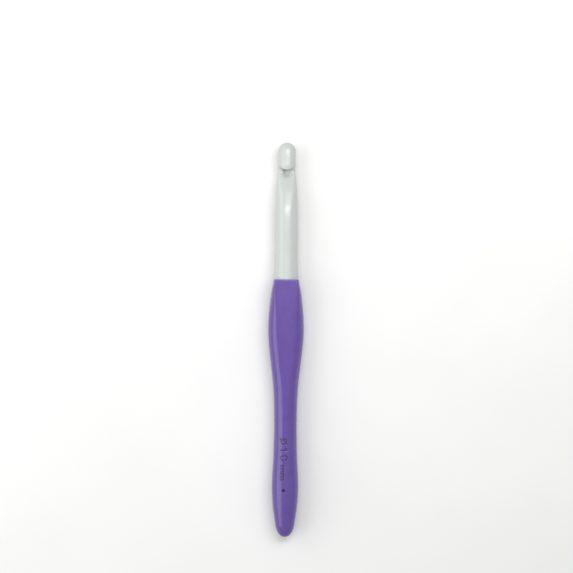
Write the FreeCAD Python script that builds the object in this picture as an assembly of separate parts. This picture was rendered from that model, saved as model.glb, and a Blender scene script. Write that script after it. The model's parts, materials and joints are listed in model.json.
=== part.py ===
"""Crochet hook, 10 mm size, with a soft moulded handle.

Frame: +X along the hook towards its head, +Z out of the hook's mouth, origin at the centre of the
bounding box's bottom face, which is the plane that the hook lies on. Lengths are in millimetres.
"Station" means the distance from the tip of the head along the hook.
"""
import FreeCAD, Part
import math
import os

from FreeCAD import Vector

# ---- driving dimensions ------------------------------------------------------------------------
LENGTH = 179.2            # tip of the head to the end of the handle
HOOK_SIZE = 10.0          # diameter of the parallel part of the shaft: the size the hook is sold by
REST_HEIGHT = 5.9         # height of the hook's axis above the plane it lies on

# head and mouth
HEAD_RADIUS = 3.87
HEAD_END = 9.0            # the head keeps its radius up to here
LIP_STATION = 13.0        # point of the lip before its edge is rounded
UNDERCUT_ANGLE = 48.0     # between the lip's underside and the axis, in degrees
MOUTH_FLOOR = 0.0         # height of the mouth's lowest line above the axis
MOUTH_RADIUS = 1.5        # inside radius at the bottom of the mouth
THROAT_SLOPE = 26.0       # rise of the throat's floor towards the shaft, in degrees
THROAT_BLEND = 12.0       # radius where the throat's floor runs out into the shaft
MOUTH_ROUND = 1.1         # rounding of the lip's edge and of the throat's sides
HOLLOW_STATION = 13.2     # round hollow in the throat, right under the lip
HOLLOW_HEIGHT = 0.65      # of the hollow's centre above the axis
HOLLOW_RADIUS = 1.7

# shaft: station and radius along its two tapers, with the parallel part between them
NECK = [(HEAD_END, HEAD_RADIUS), (15.0, 4.18), (22.0, 4.58), (31.0, HOOK_SIZE / 2)]
ROOT = [(49.0, HOOK_SIZE / 2), (55.0, 5.12), (63.8, 5.40)]
ROOT_SLOPE = 0.03         # growth of the radius where the shaft enters the handle, mm per mm

# handle: station, half width, half height before its flats are cut, and squareness of the section
# (2 is an ellipse)
HANDLE_START = 62.2
GRIP = [
    (62.2, 5.75, 7.60, 3.1),
    (64.0, 5.98, 7.90, 3.1),
    (67.0, 6.60, 7.90, 2.8),
    (71.5, 7.20, 7.35, 2.35),
    (78.5, 7.85, 6.75, 2.2),
    (86.0, 8.10, 6.36, 2.2),
    (92.0, 7.70, 6.24, 2.2),
    (101.0, 6.73, 6.10, 2.1),
    (110.0, 5.72, 5.80, 2.0),
    (119.0, 5.26, 5.48, 2.0),
    (130.0, 5.12, 5.36, 2.0),
    (142.0, 5.36, 5.60, 2.0),
    (155.5, 5.98, 5.87, 2.0),
    (164.7, 5.55, 5.50, 2.0),
    (171.0, 4.70, 4.66, 2.0),
    (175.0, 4.12, 4.10, 2.0),
    (LENGTH, 3.62, 3.62, 2.0),
]
FINGER_FLAT = REST_HEIGHT  # depth of the flat on the handle's back below the axis
THUMB_FLAT = 5.75         # height of the flat on the handle's front above the axis
FLATS_END = 119.0         # both flats run out before this station
DOME_START = 173.5        # the handle's end closes in a dome from here
DOME_POWER = 2.3
DOME_DISC = 0.5           # radius of the flat moulding spot in the middle of the dome

# inside the handle
SKIN = 1.6                # thickness of the soft skin over the core
CORE_START = HANDLE_START + SKIN
CORE_DOME_START = 169.5
CORE_END = LENGTH - 3.2
TANG_RADIUS = 3.2
TANG_STEP = 101.0         # the tang gets slimmer here
TANG_TIP_RADIUS = 2.3
TANG_END = 139.0
TANG_CHAMFER = 0.6
RING_STATIONS = [72.0, 80.0, 88.0, 96.0]              # retaining rings round the tang
RING_HEIGHT = 0.4
RING_WIDTH = 2.0
KEY_START = 108.0         # two keys stop the tang from turning in the core
KEY_LENGTH = 22.0
KEY_WIDTH = 1.6
KEY_HEIGHT = 0.5
GROOVE_STATIONS = [68.0, 84.0, 104.0, 124.0, 144.0, 164.0]   # bands where the skin grips the core
GROOVE_DEPTH = 0.45
GROOVE_WIDTH = 2.4

# hole through the skin, left by the pin that holds the core still while the skin is moulded
PIN_HOLE_STATION = 157.6
PIN_HOLE_OFFSET = 0.7     # to the +Y side of the axis
PIN_HOLE_RADIUS = 0.7
PIN_HOLE_IN_CORE = 1.2    # depth below the core's surface


# ---- helpers -----------------------------------------------------------------------------------
def along(station):
    """Frame X of a station."""
    return LENGTH / 2 - station


def side_point(station, height=0.0):
    """Point of the side view, in the plane Y = 0, with height counted from the axis."""
    return Vector(along(station), 0, REST_HEIGHT + height)


def smooth(keys, column, station):
    """Value of a column of a station table, by a cubic through its rows."""
    xs = [key[0] for key in keys]
    ys = [key[column] for key in keys]
    last = len(xs) - 1
    i = max(j for j in range(last) if j == 0 or xs[j] <= station)

    def slope(j):
        before, after = max(j - 1, 0), min(j + 1, last)
        return (ys[after] - ys[before]) / (xs[after] - xs[before])

    step = xs[i + 1] - xs[i]
    t = (station - xs[i]) / step
    return (ys[i] * (1 + 2 * t) * (1 - t) ** 2
            + slope(i) * step * t * (1 - t) ** 2
            + ys[i + 1] * t * t * (3 - 2 * t)
            + slope(i + 1) * step * t * t * (t - 1))


def section(station, half_width, half_height, power):
    """Closed wire round the handle at a station: a superellipse."""
    count = 32
    points = []
    for i in range(count):
        angle = 2 * math.pi * i / count
        across, up = math.cos(angle), math.sin(angle)
        points.append(Vector(
            along(station),
            half_width * math.copysign(abs(across) ** (2 / power), across),
            REST_HEIGHT + half_height * math.copysign(abs(up) ** (2 / power), up)))
    curve = Part.BSplineCurve()
    turns = [i / count for i in range(count + 1)]    # the same for each section, so a loft stays light
    curve.interpolate(Points=points, Parameters=turns, PeriodicFlag=True)
    return Part.Wire([curve.toShape()])


def slab(from_station, to_station, low=-HOOK_SIZE, high=HOOK_SIZE):
    """Block across the hook between two stations and between two heights from the axis."""
    corner = Vector(along(to_station), -HOOK_SIZE, REST_HEIGHT + low)
    return Part.makeBox(to_station - from_station, 2 * HOOK_SIZE, high - low, corner)


def rod(from_station, to_station, radius):
    """Cylinder on the hook's axis between two stations."""
    return Part.makeCylinder(radius, to_station - from_station, side_point(to_station), Vector(1, 0, 0))


def grip_body(inset, start, dome_start, end):
    """Solid through the handle's sections, inset all round, with its two flats and its dome."""
    body_steps = [start] + [key[0] for key in GRIP if start + 1 < key[0] < dome_start - 1] + [dome_start]
    dome_steps = [dome_start + (end - dome_start) * math.sin(math.radians(a)) for a in (25, 45, 60, 72, 82)]
    wires = []
    for station in body_steps + dome_steps + [end]:
        into_dome = max(0.0, (station - dome_start) / (end - dome_start))
        shrink = max(0.0, 1 - into_dome ** DOME_POWER) ** (1 / DOME_POWER)
        half_width = max((smooth(GRIP, 1, station) - inset) * shrink, DOME_DISC)
        half_height = max((smooth(GRIP, 2, station) - inset) * shrink, DOME_DISC)
        wires.append(section(station, half_width, half_height, smooth(GRIP, 3, station)))
    body = Part.makeLoft(wires, True, False)
    under_back = slab(0, FLATS_END, -HOOK_SIZE, inset - FINGER_FLAT)
    over_front = slab(0, FLATS_END, THUMB_FLAT - inset, HOOK_SIZE)
    return body.cut([under_back, over_front])


# ---- hook_shaft: head, mouth, shaft and tang ---------------------------------------------------
def taper(table, end_slope):
    """Edge of the side outline through a taper's (station, radius) rows."""
    curve = Part.BSplineCurve()
    curve.interpolate(
        Points=[side_point(*row) for row in table],
        InitialTangent=Vector(-1, 0, 0),
        FinalTangent=Vector(-1, 0, end_slope))
    return curve.toShape()


def turned_shaft():
    """Head and shaft turned round the axis, before the mouth is cut."""
    diagonal = HEAD_RADIUS * math.sqrt(0.5)
    edges = [
        Part.Arc(
            side_point(0),
            side_point(HEAD_RADIUS - diagonal, diagonal),
            side_point(HEAD_RADIUS, HEAD_RADIUS)).toShape(),
        Part.makeLine(side_point(HEAD_RADIUS, HEAD_RADIUS), side_point(*NECK[0])),
        taper(NECK, 0),
        Part.makeLine(side_point(*NECK[-1]), side_point(*ROOT[0])),
        taper(ROOT, ROOT_SLOPE),
        Part.makeLine(side_point(*ROOT[-1]), side_point(ROOT[-1][0])),
        Part.makeLine(side_point(ROOT[-1][0]), side_point(0)),
    ]
    turned = Part.Face(Part.Wire(edges)).revolve(side_point(0), Vector(1, 0, 0), 360)
    turned.rotate(side_point(0), Vector(1, 0, 0), 180)    # the seam goes to the back, off the mouth
    return turned


def mouth_cutter():
    """What is cut away for the mouth and throat: a side outline pushed through the hook."""
    under, rise = math.radians(UNDERCUT_ANGLE), math.radians(THROAT_SLOPE)
    reach = 2 * HOOK_SIZE
    lip_far = side_point(LIP_STATION + reach * math.cos(under), HEAD_RADIUS + reach * math.sin(under))

    # the round at the mouth's bottom touches the lip's underside and the throat's floor
    centre_height = MOUTH_FLOOR + MOUTH_RADIUS
    centre_station = (LIP_STATION - (HEAD_RADIUS - centre_height) / math.tan(under)
                      + MOUTH_RADIUS / math.sin(under))

    def on_round(angle):
        return (centre_station - MOUTH_RADIUS * math.cos(angle),
                centre_height + MOUTH_RADIUS * math.sin(angle))

    lip_touch = on_round(math.pi / 2 - under)
    floor_touch = on_round(-math.pi / 2 - rise)
    middle = on_round(-(under + rise) / 2)

    # the floor runs out in a wide round that ends level with the top of the shaft
    top = HOOK_SIZE / 2
    meet_station = floor_touch[0] + (top - floor_touch[1]) / math.tan(rise)
    tangent = THROAT_BLEND * math.tan(rise / 2)
    blend_start = (meet_station - tangent * math.cos(rise), top - tangent * math.sin(rise))
    blend_end = (meet_station + tangent, top)
    blend_middle = (blend_end[0] - THROAT_BLEND * math.sin(rise / 2),
                    top - THROAT_BLEND * (1 - math.cos(rise / 2)))
    above_end = side_point(blend_end[0], reach)
    edges = [
        Part.makeLine(lip_far, side_point(*lip_touch)),
        Part.Arc(side_point(*lip_touch), side_point(*middle), side_point(*floor_touch)).toShape(),
        Part.makeLine(side_point(*floor_touch), side_point(*blend_start)),
        Part.Arc(side_point(*blend_start), side_point(*blend_middle), side_point(*blend_end)).toShape(),
        Part.makeLine(side_point(*blend_end), above_end),
        Part.makeLine(above_end, lip_far),
    ]
    outline = Part.Face(Part.Wire(edges))
    outline.translate(Vector(0, -HOOK_SIZE, 0))
    return outline.extrude(Vector(0, 2 * HOOK_SIZE, 0))


def round_mouth(hook):
    """Round every edge of the mouth, the lip's among them."""
    edges = []
    for edge in hook.Edges:
        box = edge.BoundBox
        in_mouth = along(HEAD_RADIUS) > box.XMax and box.XMin > along(ROOT[0][0])
        if in_mouth and box.XLength > 0.05 and box.YLength > 0.05:
            edges.append(edge)
    return hook.makeFillet(MOUTH_ROUND, edges)


def tang():
    """Stepped tang inside the handle, with its retaining rings and keys."""
    root = ROOT[-1][0]
    pieces = [rod(root, TANG_STEP, TANG_RADIUS)]
    tip = rod(TANG_STEP, TANG_END, TANG_TIP_RADIUS)
    pieces.append(tip.makeChamfer(TANG_CHAMFER, [
        edge for edge in tip.Edges if edge.BoundBox.XMax < along(TANG_END) + 0.01]))
    for station in RING_STATIONS:
        pieces.append(rod(station - RING_WIDTH / 2, station + RING_WIDTH / 2, TANG_RADIUS + RING_HEIGHT))
    key_reach = TANG_TIP_RADIUS + KEY_HEIGHT
    corner = Vector(along(KEY_START + KEY_LENGTH), -key_reach, REST_HEIGHT - KEY_WIDTH / 2)
    pieces.append(Part.makeBox(KEY_LENGTH, 2 * key_reach, KEY_WIDTH, corner))
    return pieces[0].fuse(pieces[1:]).removeSplitter()


def hook_shaft():
    hook = round_mouth(turned_shaft().cut(mouth_cutter()))
    hook = hook.cut(Part.makeSphere(HOLLOW_RADIUS, side_point(HOLLOW_STATION, HOLLOW_HEIGHT)))
    return hook.fuse(tang()).removeSplitter()


# ---- handle_core: rigid core round the tang ----------------------------------------------------
def pin_hole(depth):
    """Cylinder from above the handle down to a depth below the core's surface."""
    bottom = REST_HEIGHT + smooth(GRIP, 2, PIN_HOLE_STATION) - SKIN - depth
    foot = Vector(along(PIN_HOLE_STATION), PIN_HOLE_OFFSET, bottom)
    return Part.makeCylinder(PIN_HOLE_RADIUS, 2 * HOOK_SIZE - bottom, foot)


def core_outside():
    """Core without its bore, with the grooves where the skin grips it."""
    core = grip_body(SKIN, CORE_START, CORE_DOME_START, CORE_END)
    groove_floor = grip_body(SKIN + GROOVE_DEPTH, CORE_START, CORE_DOME_START, CORE_END)
    for station in GROOVE_STATIONS:
        band = slab(station - GROOVE_WIDTH / 2, station + GROOVE_WIDTH / 2)
        core = core.cut(band.cut(groove_floor))
    return core.cut(pin_hole(PIN_HOLE_IN_CORE))


# ---- soft_grip: skin moulded over the core -----------------------------------------------------
def soft_grip(core, shaft):
    grip = grip_body(0, HANDLE_START, DOME_START, LENGTH)
    return grip.cut(pin_hole(0)).cut(core).cut(shaft)


def main():
    os.makedirs("parts", exist_ok=True)
    shaft = hook_shaft()
    core = core_outside()
    grip = soft_grip(core, shaft)
    nodes = {"hook_shaft": shaft, "handle_core": core.cut(shaft), "soft_grip": grip}
    for name, shape in nodes.items():
        print(name, "valid", shape.isValid(), "solids", len(shape.Solids), "volume", round(shape.Volume))
        shape.exportStep("parts/" + name + ".step")


main()
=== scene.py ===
"""A 10 mm crochet hook with a soft moulded handle, lying on its back on a pale floor.

Shapes are worked out in the hook's own coordinates, in millimetres: station s from the tip of the
head towards the handle's end, y across, and height z above the hook's axis. They are turned into
the frame's metres when a mesh is made.
"""
import json
import math

import bpy
import numpy as np
from mathutils import Matrix, Vector


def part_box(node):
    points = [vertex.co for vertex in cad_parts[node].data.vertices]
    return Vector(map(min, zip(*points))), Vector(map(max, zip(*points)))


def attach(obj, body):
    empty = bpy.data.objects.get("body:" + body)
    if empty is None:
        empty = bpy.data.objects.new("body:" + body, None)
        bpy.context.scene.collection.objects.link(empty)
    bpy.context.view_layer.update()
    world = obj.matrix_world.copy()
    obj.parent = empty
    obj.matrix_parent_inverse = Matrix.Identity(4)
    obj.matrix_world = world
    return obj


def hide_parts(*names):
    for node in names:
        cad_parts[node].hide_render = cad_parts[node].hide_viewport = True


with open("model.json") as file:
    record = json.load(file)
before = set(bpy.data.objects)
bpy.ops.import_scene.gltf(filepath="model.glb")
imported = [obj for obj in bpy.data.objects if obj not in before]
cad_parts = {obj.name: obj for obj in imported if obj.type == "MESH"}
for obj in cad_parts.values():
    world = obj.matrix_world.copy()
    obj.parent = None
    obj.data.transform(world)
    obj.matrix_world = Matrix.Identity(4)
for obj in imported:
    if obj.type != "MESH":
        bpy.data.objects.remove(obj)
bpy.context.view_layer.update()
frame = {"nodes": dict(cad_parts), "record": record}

MM = 0.001

# ---- places taken from the frame -----------------------------------------------------------------
MOUNTS = {mount["name"]: mount for mount in frame["record"]["mounts"]}
TIP_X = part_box("hook_shaft")[1][0]                 # the head's tip
TAIL_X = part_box("soft_grip")[0][0]                 # the handle's end
AXIS_Z = MOUNTS["shaft_gauge"]["pos_m"][2]         # height of the hook's axis over the floor
SHAFT_RADIUS = MOUNTS["shaft_gauge"]["dims"]["r_mm"]
LENGTH = (TIP_X - TAIL_X) / MM
HANDLE_START = (TIP_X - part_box("soft_grip")[1][0]) / MM
TANG_END = (TIP_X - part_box("hook_shaft")[0][0]) / MM

# ---- head, mouth and shaft -----------------------------------------------------------------------
HEAD_RADIUS = 3.87
SHAFT_PROFILE = [                                  # station, radius
    (HEAD_RADIUS, HEAD_RADIUS), (9.0, HEAD_RADIUS), (15.0, 4.18), (22.0, 4.58),
    (31.0, SHAFT_RADIUS), (49.0, SHAFT_RADIUS), (55.0, 5.12), (63.8, 5.40)]
CROWN_STATION, CROWN_FALL = 5.0, 0.007             # fall of the head's front towards the lip, per mm squared
CROWN_FADE = 4.0                                   # the fall ends within this length behind the lip
LIP_STATION = 13.9                                 # point of the lip before it is rounded
LIP_CURVE = 0.055                                  # how far the lip falls back towards its sides
UNDERCUT_ANGLE = math.radians(48)                  # between the lip's underside and the axis
THROAT_SLOPE = math.radians(26)                    # rise of the throat's floor
MOUTH_FLOOR = 0.0                                  # lowest line of the mouth above the axis
MOUTH_RADIUS = 1.5
LIP_BLEND, THROAT_BLEND = 3.0, 4.5                 # how softly the mouth's edges are rounded
BLEND_CHANGE = 6.0                                 # length behind the lip over which one becomes the other
POCKET_CENTRE = (13.2, 0.0, 0.45)                   # hollow in the throat, right under the lip
POCKET_SIZE = (2.1, 1.45, 1.8)
POCKET_BLEND = 1.8
SEAM_RADIUS = 0.12                                 # half width of the moulds' parting line
SHAFT_SEAM_HEIGHT = 0.025
SHAFT_SEAM_FADE = 2.0                              # it rises over this length behind the head's round end
HEAD_CELL = 0.14                                   # cell of the grid that the head is meshed on
JOIN_STATION = 34.06                               # plain rings take over from the grid here
SHAFT_RINGS = 56                                   # from the join to the shoulder

# ---- tang, hidden in the handle ------------------------------------------------------------------
TANG_RADIUS, TANG_TIP_RADIUS, TANG_STEP = 3.2, 2.3, 101.0
RING_STATIONS, RING_HALF, RING_HEIGHT = (72.0, 80.0, 88.0, 96.0), 1.0, 0.4
KEY_START, KEY_END, KEY_HALF, KEY_HEIGHT = 108.0, 130.0, 0.8, 0.5
TANG_CHAMFER = 0.6
SHOULDER_RING = 4.4                                # extra ring that splits the shoulder's long faces

# ---- handle --------------------------------------------------------------------------------------
GRIP = [                                           # station, half width, half height, squareness
    (HANDLE_START, 5.75, 7.60, 3.1),
    (64.0, 5.98, 7.90, 3.1),
    (67.0, 6.60, 7.90, 2.8),
    (71.5, 7.20, 7.35, 2.35),
    (78.5, 7.85, 6.75, 2.2),
    (86.0, 8.07, 6.36, 2.2),
    (92.0, 7.70, 6.24, 2.2),
    (101.0, 6.73, 6.10, 2.1),
    (110.0, 5.72, 5.80, 2.0),
    (119.0, 5.26, 5.48, 2.0),
    (130.0, 5.12, 5.36, 2.0),
    (142.0, 5.36, 5.60, 2.0),
    (155.5, 5.98, 5.866, 2.0),
    (164.7, 5.55, 5.50, 2.0),
    (171.0, 4.70, 4.66, 2.0),
    (175.0, 4.12, 4.10, 2.0),
    (LENGTH, 3.62, 3.62, 2.0),
]
FINGER_FLAT = AXIS_Z / MM                          # the flat on the back, which lies on the floor
THUMB_FLAT = 5.75                                  # the flat on the front
FLAT_BLEND = 0.9                                   # softness of the flats' edges
FLATS_END = 119.0
RIM_ROUND = 0.22
DOME_START, DOME_POWER = 173.5, 2.3
GRIP_SEAM_HEIGHT = 0.03
GRIP_SEAM_FADE = 3.0                               # the parting line fades out over this length at the end
GRIP_SEAM_REACH = 0.2                              # greatest cosine from the front of a column that is on it
SKIN = 1.6
CORE_DOME_START, CORE_END = 169.5, LENGTH - 3.2
GROOVES, GROOVE_HALF, GROOVE_DEPTH = (68.0, 84.0, 104.0, 124.0, 144.0, 164.0), 1.2, 0.45
GROOVE_RINGS = (4.0, 8.0, 12.0)                    # plain rings this far in front of a groove
FIT_GAP = 0.015                                    # keeps the skin's inside off what it holds

# ---- columns and rings of the handle's mesh --------------------------------------------------------
FINE_COLUMNS, SIDE_COLUMNS, BACK_COLUMNS = 27, 23, 50
FRONT_RINGS, REAR_RINGS, DOME_RINGS, CORE_DOME_RINGS, RIM_RINGS = 120, 34, 25, 10, 6

# ---- size mark and moulding hole in the handle's front --------------------------------------------
STROKE_HALF, MARK_DEPTH, MARK_EDGE = 0.32, 0.20, 0.09
MARK_CENTRE_Y = 0.55
MARK_MARGIN = 0.9                                  # from the fine part's start to the writing's
MARK_REACH = 0.8                                   # least cosine from the front of a column that can be sunk
HOLE_STATION, HOLE_Y, HOLE_RADIUS, HOLE_DEPTH = 157.6, 0.7, 0.7, 1.5
HOLE_EDGE = 0.02                                   # points this near the hole's edge stay up
PIT_VALUE = 4.0                                    # marks the hole's points in the mesh's sunk attribute
MARK_START, MARK_END = 130.0, 159.5                # the handle's grid is fine between these
FINE_STEP = 0.1
SNAP_REACH = FINE_STEP * 0.62                      # points this near the hole's edge move onto it


# ---- helpers -------------------------------------------------------------------------------------
def smooth_table(rows, column, s):
    """Value of a column of a station table, by a cubic through its rows."""
    xs = np.array([row[0] for row in rows])
    ys = np.array([row[column] for row in rows])
    slopes = np.empty(len(xs))
    slopes[1:-1] = (ys[2:] - ys[:-2]) / (xs[2:] - xs[:-2])
    slopes[0] = (ys[1] - ys[0]) / (xs[1] - xs[0])
    slopes[-1] = (ys[-1] - ys[-2]) / (xs[-1] - xs[-2])
    i = np.clip(np.searchsorted(xs, s, side="right") - 1, 0, len(xs) - 2)
    step = xs[i + 1] - xs[i]
    t = np.clip((s - xs[i]) / step, 0, 1)
    return (ys[i] * (1 + 2 * t) * (1 - t) ** 2 + slopes[i] * step * t * (1 - t) ** 2
            + ys[i + 1] * t * t * (3 - 2 * t) + slopes[i + 1] * step * t * t * (t - 1))


def smooth_max(a, b, blend):
    """The larger of a and b, rounded where they are within blend of each other."""
    near = np.maximum(blend - np.abs(a - b), 0) / blend
    return np.maximum(a, b) + near ** 3 * blend / 6


def smooth_step(low, high, value):
    """0 at low, 1 at high, with a soft start and end between them."""
    t = np.clip((value - low) / (high - low), 0, 1)
    return t * t * (3 - 2 * t)


def to_frame(points):
    """Hook coordinates in millimetres to the frame's metres."""
    s, y, z = np.moveaxis(np.asarray(points, float), -1, 0)
    return np.stack([TIP_X - s * MM, y * MM, AXIS_Z + z * MM], -1)


def make_piece(name, points, faces, material):
    """Smooth-shaded mesh piece from hook coordinates, riding on the hook's one body."""
    mesh = bpy.data.meshes.new(name)
    mesh.from_pydata(to_frame(points).tolist(), [], [list(map(int, face))[::-1] for face in faces])
    mesh.validate()
    mesh.update()
    mesh.shade_smooth()
    mesh.materials.append(material)
    piece = bpy.data.objects.new(name, mesh)
    bpy.context.scene.collection.objects.link(piece)
    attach(piece, "root")
    return piece


def ring_quads(first, second):
    """Quads between two rings of vertex numbers of the same length."""
    count = len(first)
    return [(first[i], first[(i + 1) % count], second[(i + 1) % count], second[i]) for i in range(count)]


def axes_matrix(place, right, up, back):
    """Matrix that puts an object at place, with its own axes along right, up and back."""
    return Matrix.Translation(place) @ Matrix((right, up, back)).transposed().to_4x4()


# ---- hook_shaft ----------------------------------------------------------------------------------
def mouth_distance(s, z):
    """Signed distance in the side view to what the mouth leaves out: a round widening upwards."""
    half_angle = (UNDERCUT_ANGLE - THROAT_SLOPE) / 2
    middle = (UNDERCUT_ANGLE + THROAT_SLOPE) / 2
    centre_z = MOUTH_FLOOR + MOUTH_RADIUS
    centre_s = (LIP_STATION - (HEAD_RADIUS - centre_z) / math.tan(UNDERCUT_ANGLE)
                + MOUTH_RADIUS / math.sin(UNDERCUT_ANGLE))
    out = (s - centre_s) * math.cos(middle) + (z - centre_z) * math.sin(middle)
    side = np.abs((z - centre_z) * math.cos(middle) - (s - centre_s) * math.sin(middle))
    in_round = out * math.cos(half_angle) + side * math.sin(half_angle) < 0
    round_end = np.hypot(out, side) - MOUTH_RADIUS
    wedge = side * math.cos(half_angle) - out * math.sin(half_angle) - MOUTH_RADIUS
    return np.where(in_round, round_end, wedge)


def seam_bump(z, height):
    """Height of the parting line that runs along both sides of a moulding."""
    return height * np.exp(-(z / SEAM_RADIUS) ** 2)


def hook_field(p):
    """Below zero inside the hook, above zero outside, near to a distance in millimetres."""
    s, y, z = p[..., 0], p[..., 1], p[..., 2]
    ball = np.sqrt((s - HEAD_RADIUS) ** 2 + y ** 2 + z ** 2) - HEAD_RADIUS
    fall = CROWN_FALL * np.maximum(s - CROWN_STATION, 0) ** 2
    fall = fall * (1 - smooth_step(LIP_STATION, LIP_STATION + CROWN_FADE, s))
    turned = np.hypot(y, z * (1 + (z > 0) * fall / HEAD_RADIUS)) - smooth_table(SHAFT_PROFILE, 1, s)
    body = np.where(s < HEAD_RADIUS, ball, turned)
    rise = smooth_step(HEAD_RADIUS, HEAD_RADIUS + SHAFT_SEAM_FADE, s)
    body = body - seam_bump(z, SHAFT_SEAM_HEIGHT) * rise
    blend = LIP_BLEND + (THROAT_BLEND - LIP_BLEND) * smooth_step(LIP_STATION, LIP_STATION + BLEND_CHANGE, s)
    body = smooth_max(body, -mouth_distance(s + LIP_CURVE * y ** 2, z), blend)
    from_pocket = np.sqrt((((p - np.array(POCKET_CENTRE)) / np.array(POCKET_SIZE)) ** 2).sum(-1)) - 1
    return smooth_max(body, -from_pocket * min(POCKET_SIZE), POCKET_BLEND)


def gradient(field, p):
    """Gradient of a field at each point."""
    step = 1e-3
    parts = []
    for axis in range(3):
        shift = np.zeros(3)
        shift[axis] = step
        parts.append((field(p + shift) - field(p - shift)) / (2 * step))
    return np.stack(parts, -1)


def neighbours(axis):
    """Slices of a grid's points that pair each point with the next along an axis."""
    low, high = [slice(None)] * 3, [slice(None)] * 3
    low[axis], high[axis] = slice(0, -1), slice(1, None)
    return tuple(low), tuple(high)


def surface_net(field, axes):
    """Quads through the cells of a grid where a field changes sign, and their vertices."""
    grid = np.stack(np.meshgrid(*axes, indexing="ij"), -1)
    value = np.empty(grid.shape[:3])
    for i in range(grid.shape[0]):
        value[i] = field(grid[i])
    cells = tuple(n - 1 for n in value.shape)
    total = np.zeros(cells + (3,))
    crossings = np.zeros(cells, int)
    for axis in range(3):
        others = [a for a in range(3) if a != axis]
        low, high = neighbours(axis)
        a, b = value[low], value[high]
        crossed = (a < 0) != (b < 0)
        share = np.where(crossed, a / np.where(crossed, a - b, 1), 0)[..., None]
        point = grid[low] * (1 - share) + grid[high] * share
        point = np.where(crossed[..., None], point, 0)
        for shift in ((0, 0), (0, 1), (1, 0), (1, 1)):
            window = [slice(0, cells[axis])] * 3
            for other, offset in zip(others, shift):
                window[other] = slice(offset, offset + cells[other])
            total += point[tuple(window)]
            crossings += crossed[tuple(window)]
    used = crossings > 0
    number = np.full(cells, -1)
    number[used] = np.arange(used.sum())
    vertices = total[used] / crossings[used][:, None]
    quads = []
    for axis in range(3):
        b_axis, c_axis = (axis + 1) % 3, (axis + 2) % 3
        low, high = neighbours(axis)
        inside, beyond = value[low] < 0, value[high] < 0
        index = np.argwhere(inside != beyond)
        fits = ((index[:, b_axis] > 0) & (index[:, b_axis] < cells[b_axis])
                & (index[:, c_axis] > 0) & (index[:, c_axis] < cells[c_axis]))
        index = index[fits]
        outward = inside[tuple(index.T)]
        corners = []
        for b_shift, c_shift in ((-1, -1), (0, -1), (0, 0), (-1, 0)):
            corner = index.copy()
            corner[:, b_axis] += b_shift
            corner[:, c_axis] += c_shift
            corners.append(number[tuple(corner.T)])
        quad = np.stack(corners, -1)
        quads.append(np.where(outward[:, None], quad, quad[:, ::-1]))
    return vertices, np.concatenate(quads)


def settle(field, p, rounds=4):
    """Move points onto the field's surface."""
    for _ in range(rounds):
        g = gradient(field, p)
        p = p - field(p)[:, None] * g / np.maximum((g ** 2).sum(-1), 1e-6)[:, None]
    return p


def head_mesh():
    """Head, mouth and throat up to the join, with the numbers of the join's ring in order."""
    rings = int((JOIN_STATION + 2 * HEAD_CELL) / HEAD_CELL)
    s_axis = JOIN_STATION + HEAD_CELL / 2 - HEAD_CELL * np.arange(rings)[::-1]
    half = math.ceil((SHAFT_RADIUS + 3 * HEAD_CELL) / HEAD_CELL) + 0.5
    side_axis = HEAD_CELL * np.arange(-half, half + 1)
    points, quads = surface_net(hook_field, (s_axis, side_axis, side_axis))
    points = settle(hook_field, points)
    ends = np.sort(np.concatenate([quads[:, [i, (i + 1) % 4]] for i in range(4)]), axis=1)
    edges, uses = np.unique(ends, axis=0, return_counts=True)
    rim = np.unique(edges[uses == 1])
    angle = np.arctan2(points[rim, 2], points[rim, 1])
    rim = rim[np.argsort(angle)]
    return points, quads, rim


def shaft_rings():
    """(station, radius, key height) of each ring behind the join, with no radius along the shaft."""
    root = SHAFT_PROFILE[-1][0]
    rings = [(s, None, 0) for s in np.linspace(JOIN_STATION, root, SHAFT_RINGS)[1:]]
    rings += [(root, SHOULDER_RING, 0), (root, TANG_RADIUS, 0)]
    for station in RING_STATIONS:
        for s, lift in ((-RING_HALF, 0), (-RING_HALF, 1), (RING_HALF, 1), (RING_HALF, 0)):
            rings.append((station + s, TANG_RADIUS + lift * RING_HEIGHT, 0))
    rings += [(TANG_STEP, TANG_RADIUS, 0), (TANG_STEP, TANG_TIP_RADIUS, 0)]
    for s, key in ((KEY_START, 0), (KEY_START, 1), (KEY_END, 1), (KEY_END, 0)):
        rings.append((s, TANG_TIP_RADIUS, key * KEY_HEIGHT))
    rings += [(TANG_END - TANG_CHAMFER, TANG_TIP_RADIUS, 0),
              (TANG_END, TANG_TIP_RADIUS - TANG_CHAMFER, 0)]
    return rings


def build_shaft(material):
    """Head, shaft and tang as one closed mesh."""
    points, quads, rim = head_mesh()
    y, z = points[rim, 1], points[rim, 2]
    across, up = y / np.hypot(y, z), z / np.hypot(y, z)
    points[rim, 0] = JOIN_STATION
    faces = [tuple(quad) for quad in quads]
    blocks, last, count = [points], list(rim), len(points)
    for s, radius, key in shaft_rings():
        if radius is None:
            radius = smooth_table(SHAFT_PROFILE, 1, np.full(len(rim), s))
            radius = radius + seam_bump(radius * up, SHAFT_SEAM_HEIGHT)
        radius = radius + key * (np.abs(up) * TANG_TIP_RADIUS < KEY_HALF)
        blocks.append(np.stack([np.full(len(rim), s), radius * across, radius * up], -1))
        ring = list(range(count, count + len(rim)))
        faces += ring_quads(last, ring)
        last, count = ring, count + len(rim)
    blocks.append(np.array([[TANG_END, 0, 0]]))
    faces += [(last[i], last[(i + 1) % len(rim)], count) for i in range(len(rim))]
    piece = make_piece("moulded_hook", np.concatenate(blocks), faces, material)
    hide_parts("hook_shaft")


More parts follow.
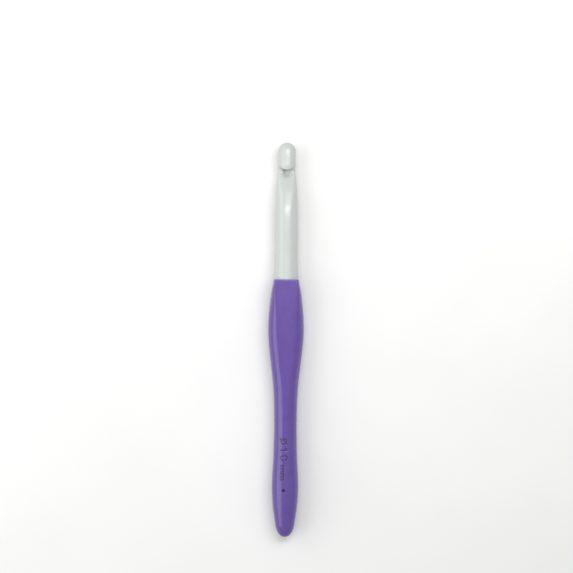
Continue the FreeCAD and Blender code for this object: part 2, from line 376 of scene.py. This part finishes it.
# ---- soft_grip -----------------------------------------------------------------------------------
def grip_angles():
    """Angles of the handle's columns from the front's middle: fine across the mark and at the seams."""
    fine = math.radians(1.0)
    front = np.arange(-FINE_COLUMNS, FINE_COLUMNS + 1) * fine
    seam = np.array([-0.06, -0.036, -0.018, 0, 0.018, 0.036, 0.06])
    quarter = math.pi / 2
    first_seam, second_seam = quarter + seam, 2 * math.pi - quarter + seam
    side = np.linspace(front[-1], first_seam[0], SIDE_COLUMNS)[1:-1]
    back = np.linspace(first_seam[-1], second_seam[0], BACK_COLUMNS)[1:-1]
    other_side = np.linspace(second_seam[-1], 2 * math.pi + front[0], SIDE_COLUMNS)[1:-1]
    return np.concatenate([front, side, first_seam, back, second_seam, other_side])


def outline(s, angles, inset=0.0, dome_start=DOME_START, dome_end=LENGTH):
    """The handle's section at a station, as (y, z) columns."""
    into_dome = min(max((s - dome_start) / (dome_end - dome_start), 0), 1)
    shrink = (1 - into_dome ** DOME_POWER) ** (1 / DOME_POWER)
    half_width = (smooth_table(GRIP, 1, s) - inset) * shrink
    half_height = (smooth_table(GRIP, 2, s) - inset) * shrink
    power = smooth_table(GRIP, 3, s)
    across, up = np.sin(angles), np.cos(angles)
    half_width, half_height = max(half_width, 1e-6), max(half_height, 1e-6)
    r = (np.abs(across / half_width) ** power + np.abs(up / half_height) ** power) ** (-1 / power)
    y, z = r * across, r * up
    if s < FLATS_END:
        z = -smooth_max(-z, np.full_like(z, inset - THUMB_FLAT), FLAT_BLEND)
        z = smooth_max(z, np.full_like(z, inset - FINGER_FLAT), FLAT_BLEND)
    return y, z


def segment_distance(u, v, start, end):
    """Distance from (u, v) to a straight stroke."""
    du, dv = end[0] - start[0], end[1] - start[1]
    t = np.clip(((u - start[0]) * du + (v - start[1]) * dv) / (du * du + dv * dv), 0, 1)
    return np.hypot(u - start[0] - t * du, v - start[1] - t * dv)


def loop_distance(u, v, centre, half_width, half_height):
    """Distance from (u, v) to an upright rounded loop."""
    straight = max(half_height - half_width, 0)
    dv = np.maximum(np.abs(v - centre[1]) - straight, 0)
    return np.abs(np.hypot(u - centre[0], dv) - half_width)


def arch_distance(u, v, left, right, foot, top):
    """Distance from (u, v) to an arch: a half round and its right leg."""
    radius = (right - left) / 2
    centre = ((left + right) / 2, top - radius)
    crown = np.where(v >= centre[1], np.abs(np.hypot(u - centre[0], v - centre[1]) - radius), 1e3)
    right_leg = segment_distance(u, v, (right, foot), (right, centre[1]))
    return np.minimum(crown, right_leg)


def mark_distance(u, v):
    """Distance to the strokes of the size mark. u runs along the writing, v up the letters."""
    tall, digit, small = 3.3, 2.9, 1.55
    strokes = [
        # diameter sign
        loop_distance(u, v, (4.6, 0), 1.15, 1.15),
        segment_distance(u, v, (3.35, -tall / 2), (5.85, tall / 2)),
        # one
        segment_distance(u, v, (8.55, -digit / 2), (8.55, digit / 2)),
        segment_distance(u, v, (7.75, digit / 2 - 0.75), (8.55, digit / 2)),
        # nought
        loop_distance(u, v, (12.1, 0), 0.95, digit / 2),
    ]
    foot = -digit / 2
    for left in (15.6, 19.3):
        strokes.append(segment_distance(u, v, (left, foot), (left, foot + small)))
        strokes.append(arch_distance(u, v, left, left + 1.3, foot, foot + small))
        strokes.append(arch_distance(u, v, left + 1.3, left + 2.6, foot, foot + small))
    return np.minimum.reduce(strokes)


def sunk_depth(s, y):
    """Depth of the size mark and of the moulding hole below the handle's front."""
    stroke = mark_distance(s - MARK_START - MARK_MARGIN, MARK_CENTRE_Y - y)
    letters = MARK_DEPTH * (1 - smooth_step(STROKE_HALF - MARK_EDGE, STROKE_HALF + MARK_EDGE, stroke))
    hole = np.hypot(s - HOLE_STATION, y - HOLE_Y)
    return letters, HOLE_DEPTH * (hole < HOLE_RADIUS - HOLE_EDGE)


def snap_to_hole(s, y):
    """Move the grid's points near the hole's edge onto it, so that it comes out round."""
    ds, dy = s - HOLE_STATION, y - HOLE_Y
    r = np.hypot(ds, dy)
    near = np.abs(r - HOLE_RADIUS) < SNAP_REACH
    scale = np.where(near, HOLE_RADIUS / np.maximum(r, 1e-6), 1)
    return HOLE_STATION + ds * scale, HOLE_Y + dy * scale


def dome_stations(start, end, count):
    """Stations of a dome's rings, closer and closer towards its end, without the end itself."""
    return start + (end - start) * np.sin(np.linspace(0, math.pi / 2, count))[:-1]


def outer_stations():
    """Stations of the handle's outer rings, behind the rounded rim."""
    start = HANDLE_START + RIM_ROUND
    front = np.linspace(start, MARK_START, FRONT_RINGS)[:-1]
    mark = np.arange(MARK_START, MARK_END, FINE_STEP)
    rest = np.linspace(MARK_END, DOME_START, REAR_RINGS)[:-1]
    return np.concatenate([front, mark, rest, dome_stations(DOME_START, LENGTH, DOME_RINGS)])


def inner_rings():
    """(station, inset) of the rings where the skin meets the core, from the end to the front."""
    rings = [(s, SKIN) for s in dome_stations(CORE_DOME_START, CORE_END, CORE_DOME_RINGS)[::-1]]
    for groove in GROOVES[::-1]:
        for offset, depth in ((GROOVE_HALF, 0), (GROOVE_HALF, 1), (-GROOVE_HALF, 1), (-GROOVE_HALF, 0)):
            rings.append((groove + offset, SKIN + depth * GROOVE_DEPTH))
        rings += [(groove - GROOVE_HALF - gap, SKIN) for gap in GROOVE_RINGS if groove > GROOVES[0]]
    rings.append((HANDLE_START + SKIN, SKIN))
    return sorted(rings, key=lambda ring: -ring[0])


def grip_rings(angles):
    """Rings of the skin's outside from the bore's edge to the end, and their points' sunk values."""
    across, up = np.sin(angles), np.cos(angles)
    on_seam = np.where(np.abs(up) < GRIP_SEAM_REACH, 1.0, 0.0)
    rings, sunk = [], []

    def add(s, y, z, value=0.0):
        rings.append(np.stack([np.broadcast_to(s, y.shape), y, z], -1))
        sunk.append(np.broadcast_to(value, y.shape))

    bore = float(smooth_table(SHAFT_PROFILE, 1, HANDLE_START)) + FIT_GAP
    y, z = outline(HANDLE_START, angles)
    add(HANDLE_START, bore * across, bore * up)
    for turn in np.linspace(0, math.pi / 2, RIM_RINGS)[:-1]:
        shrink = 1 - RIM_ROUND * (1 - math.sin(turn)) / np.hypot(y, z)
        add(HANDLE_START + RIM_ROUND * (1 - math.cos(turn)), y * shrink, z * shrink)
    for s in outer_stations():
        y, z = outline(s, angles)
        lift = seam_bump(z, GRIP_SEAM_HEIGHT) * on_seam
        y = y + np.sign(y) * lift * smooth_step(LENGTH, LENGTH - GRIP_SEAM_FADE, s)
        stations = np.full_like(y, s)
        if MARK_START < s < MARK_END:
            front = up > MARK_REACH
            snapped_s, snapped_y = snap_to_hole(stations, y)
            stations = np.where(front, snapped_s, stations)
            y = np.where(front, snapped_y, y)
            letters, hole = sunk_depth(stations, y)
            depth = np.where(front, np.maximum(letters, hole), 0)
            add(stations, y, z - depth, np.where(front, letters / MARK_DEPTH + PIT_VALUE * (hole > 0), 0))
        else:
            add(stations, y, z)
    return rings, sunk


def build_grip(material):
    """The soft skin, outside and inside, as one closed mesh."""
    angles = grip_angles()
    across, up = np.sin(angles), np.cos(angles)
    columns = len(angles)
    rings, sunk = grip_rings(angles)
    outer_count = len(rings)
    # the inside, from the end of the core's dome forwards, and the bore that holds the shaft
    inner = []
    for s, inset in inner_rings():
        y, z = outline(s, angles, inset, CORE_DOME_START, CORE_END)
        inner.append(np.stack([np.full(columns, s), y, z], -1))
    shoulder = HANDLE_START + SKIN
    bore = float(smooth_table(SHAFT_PROFILE, 1, shoulder)) + FIT_GAP
    inner.append(np.stack([np.full(columns, shoulder), bore * across, bore * up], -1))
    points = np.concatenate(rings + inner)
    ring = [range(i * columns, (i + 1) * columns) for i in range(outer_count + len(inner))]
    faces = []
    for i in range(len(ring) - 1):
        if i != outer_count - 1:
            faces += ring_quads(ring[i + 1], ring[i])
    faces += ring_quads(ring[0], ring[-1])
    # close both domes with a middle point
    end_point, core_point = len(points), len(points) + 1
    points = np.concatenate([points, [[LENGTH, 0, 0], [CORE_END, 0, 0]]])
    last_outer, first_inner = outer_count - 1, outer_count
    for i in range(columns):
        j = (i + 1) % columns
        faces.append((last_outer * columns + j, last_outer * columns + i, end_point))
        faces.append((first_inner * columns + i, first_inner * columns + j, core_point))
    piece = make_piece("soft_grip_skin", points, faces, material)
    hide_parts("soft_grip")
    values = np.zeros(len(points))
    values[:outer_count * columns] = np.concatenate(sunk)
    attribute = piece.data.attributes.new("sunk", "FLOAT", "POINT")
    attribute.data.foreach_set("value", values.astype(np.float32))


# ---- materials -----------------------------------------------------------------------------------
class Shader:
    """A material's node tree, with short ways to add and link nodes."""

    def __init__(self, name):
        self.material = bpy.data.materials.new(name)
        self.material.use_nodes = True
        self.tree = self.material.node_tree
        self.surface = self.tree.nodes["Principled BSDF"]
        coordinates = self.tree.nodes.new("ShaderNodeTexCoord")
        scale = self.tree.nodes.new("ShaderNodeVectorMath")
        scale.operation = "SCALE"
        scale.inputs["Scale"].default_value = 1 / MM
        self.link(coordinates.outputs["Object"], scale.inputs[0])
        self.millimetres = scale.outputs[0]

    def link(self, output, socket):
        """Link an output to an input socket."""
        self.tree.links.new(output, socket)

    def set(self, **values):
        """Set plain values on the surface, with _ for a space in a socket's name."""
        for name, value in values.items():
            self.surface.inputs[name.replace("_", " ")].default_value = value

    def noise(self, scale, detail=3.0, roughness=0.5, stretch=(1, 1, 1)):
        """Noise with scale features to the millimetre, from 0 to 1 about 0.5."""
        mapping = self.tree.nodes.new("ShaderNodeMapping")
        mapping.inputs["Scale"].default_value = stretch
        self.link(self.millimetres, mapping.inputs["Vector"])
        node = self.tree.nodes.new("ShaderNodeTexNoise")
        node.inputs["Scale"].default_value = scale
        node.inputs["Detail"].default_value = detail
        node.inputs["Roughness"].default_value = roughness
        self.link(mapping.outputs["Vector"], node.inputs["Vector"])
        return node.outputs["Fac"]

    def spread(self, value, low, high, out_low, out_high):
        """value from low to high, mapped to out_low to out_high."""
        node = self.tree.nodes.new("ShaderNodeMapRange")
        limits = {"From Min": low, "From Max": high, "To Min": out_low, "To Max": out_high}
        for name, number in limits.items():
            node.inputs[name].default_value = number
        self.link(value, node.inputs["Value"])
        return node.outputs["Result"]

    def mix(self, factor, first, second):
        """Mix of two colours, each a socket or an RGB triple."""
        node = self.tree.nodes.new("ShaderNodeMix")
        node.data_type = "RGBA"
        sockets = [socket for socket in node.inputs if socket.type == "RGBA"]
        for socket, colour in zip(sockets, (first, second)):
            if isinstance(colour, tuple):
                socket.default_value = (*colour, 1)
            else:
                self.link(colour, socket)
        self.link(factor, node.inputs[0])
        return next(socket for socket in node.outputs if socket.type == "RGBA")

    def bump(self, height, strength, distance, below=None):
        """Normal of a bumpy surface, distance millimetres high, over another such normal."""
        node = self.tree.nodes.new("ShaderNodeBump")
        node.inputs["Strength"].default_value = strength
        node.inputs["Distance"].default_value = distance * MM
        self.link(height, node.inputs["Height"])
        if below is not None:
            self.link(below, node.inputs["Normal"])
        return node.outputs["Normal"]

    def attribute(self, name):
        """Value of a mesh attribute."""
        node = self.tree.nodes.new("ShaderNodeAttribute")
        node.attribute_name = name
        return node.outputs["Fac"]


def grip_material():
    """Violet elastomer: slightly cloudy, with fine moulded grain, darker with painted shade where the mark
    is sunk, and near black with painted shade in the moulding hole.
    """
    shader = Shader("violet_elastomer")
    cloud = shader.spread(shader.noise(0.22, 3, 0.55), 0.35, 0.65, 0, 1)
    colour = shader.mix(cloud, (0.088, 0.045, 0.248), (0.096, 0.050, 0.262))
    # painted shade: the base colour is darkened inside the sunk letters of the size mark, by their depth
    shadow = shader.spread(shader.attribute("sunk"), 0, 1, 0, 0.9)
    colour = shader.mix(shadow, colour, (0.03, 0.017, 0.10))
    # painted shade: the moulding hole's bottom is coloured near black, standing in for the darkness of the
    # deep hole
    hole_shade = shader.spread(shader.attribute("sunk"), 2, PIT_VALUE, 0, 1)
    colour = shader.mix(hole_shade, colour, (0.006, 0.004, 0.02))
    shader.link(colour, shader.surface.inputs["Base Color"])
    rough = shader.spread(shader.noise(0.6, 4, 0.6), 0.3, 0.7, 0.19, 0.24)
    shader.link(rough, shader.surface.inputs["Roughness"])
    grain = shader.bump(shader.noise(7.0, 2, 0.5), 0.05, 0.02)
    skin = shader.bump(shader.noise(0.6, 2, 0.5), 0.10, 0.02, grain)
    shader.link(skin, shader.surface.inputs["Normal"])
    shader.set(Specular_IOR_Level=0.65)
    return shader.material


def shaft_material():
    """Pale grey rigid plastic: smooth, slightly cloudy, with faint polishing lines along it."""
    shader = Shader("pale_plastic")
    cloud = shader.spread(shader.noise(0.25, 3, 0.5), 0.3, 0.7, 0, 1)
    colour = shader.mix(cloud, (0.434, 0.467, 0.449), (0.447, 0.480, 0.462))
    shader.link(colour, shader.surface.inputs["Base Color"])
    rough = shader.spread(shader.noise(0.4, 3, 0.5), 0.3, 0.7, 0.18, 0.23)
    shader.link(rough, shader.surface.inputs["Roughness"])
    lines = shader.bump(shader.noise(3.0, 2, 0.5, (0.05, 1, 1)), 0.025, 0.01)
    peel = shader.bump(shader.noise(0.25, 1, 0.4), 0.07, 0.02, lines)
    shader.link(peel, shader.surface.inputs["Normal"])
    return shader.material


def core_material():
    """Grey moulded plastic inside the handle."""
    shader = Shader("grey_core_plastic")
    cloud = shader.spread(shader.noise(0.4, 3, 0.5), 0.3, 0.7, 0, 1)
    colour = shader.mix(cloud, (0.27, 0.27, 0.28), (0.33, 0.33, 0.34))
    shader.link(colour, shader.surface.inputs["Base Color"])
    shader.link(shader.spread(shader.noise(2.0), 0.3, 0.7, 0.45, 0.6), shader.surface.inputs["Roughness"])
    shader.link(shader.bump(shader.noise(3.0), 0.2, 0.03), shader.surface.inputs["Normal"])
    return shader.material


def floor_material():
    """Plain pale matt floor."""
    shader = Shader("pale_floor")
    cloud = shader.spread(shader.noise(0.02, 2, 0.5), 0.3, 0.7, 0, 1)
    colour = shader.mix(cloud, (0.70, 0.70, 0.695), (0.72, 0.72, 0.715))
    shader.link(colour, shader.surface.inputs["Base Color"])
    shader.set(Roughness=0.7)
    return shader.material


# ---- stage, light and camera ---------------------------------------------------------------------
def build_floor():
    """Flat floor that the hook lies on."""
    half = 1.5
    mesh = bpy.data.meshes.new("floor")
    corners = [(-half, -half, 0), (half, -half, 0), (half, half, 0), (-half, half, 0)]
    mesh.from_pydata(corners, [], [(0, 1, 2, 3)])
    mesh.materials.append(floor_material())
    floor = bpy.data.objects.new("floor", mesh)
    bpy.context.scene.collection.objects.link(floor)


def add_softbox(name, place, aim, size, power):
    """Rectangular soft light at place, facing aim, its first size along X."""
    light = bpy.data.lights.new(name, "AREA")
    light.shape = "RECTANGLE"
    light.size, light.size_y = size
    light.energy = power
    lamp = bpy.data.objects.new(name, light)
    back = (Vector(place) - Vector(aim)).normalized()
    side = (Vector((1, 0, 0)) - back * back.x).normalized()
    lamp.matrix_world = axes_matrix(place, side, back.cross(side), back)
    bpy.context.scene.collection.objects.link(lamp)


def build_light():
    """Even white surroundings, a long box on the left, one over the head, and a strip above it."""
    world = bpy.data.worlds.new("studio")
    bpy.context.scene.world = world
    world.use_nodes = True
    background = world.node_tree.nodes["Background"]
    background.inputs["Color"].default_value = (1, 1, 1, 1)
    background.inputs["Strength"].default_value = 0.61
    add_softbox("left_softbox", (0.06, 0.377, 0.265), (0.06, 0, 0.02), (0.7, 0.38), 1.35)
    add_softbox("key_softbox", (0.23, -0.12, 0.42), (0.075, 0, 0), (0.22, 0.42), 0.75)
    add_softbox("top_strip", (0.13, -0.06, 0.45), (0.08, 0, 0), (0.06, 0.46), 0.85)


def build_camera():
    """Straight above the hook, with the head at the top of the picture, as in a product view."""
    view_width = 0.2604                            # of the picture, at the hook's height
    above_middle = 0.0242                          # the hook lies below the picture's middle
    to_right = 0.0001
    lean = math.radians(0.37)
    lens, sensor = 120.0, 36.0
    camera = bpy.data.cameras.new("camera")
    camera.lens, camera.sensor_width = lens, sensor
    holder = bpy.data.objects.new("camera", camera)
    up = Vector((math.cos(lean), math.sin(lean), 0))
    right = up.cross(Vector((0, 0, 1)))
    back = Vector((0, 0, 1))
    middle = (TIP_X + TAIL_X) / 2
    place = Vector((middle + above_middle, -to_right, AXIS_Z + view_width * lens / sensor))
    holder.matrix_world = axes_matrix(place, right, up, back)
    bpy.context.scene.collection.objects.link(holder)
    bpy.context.scene.camera = holder
    camera.clip_start, camera.clip_end = 0.01, 10


build_camera()
build_shaft(shaft_material())
build_grip(grip_material())
core = frame["nodes"]["handle_core"]
core.data.materials.clear()
core.data.materials.append(core_material())
build_floor()
build_light()
bpy.context.scene.view_settings.view_transform = "Standard"

bpy.context.view_layer.update()
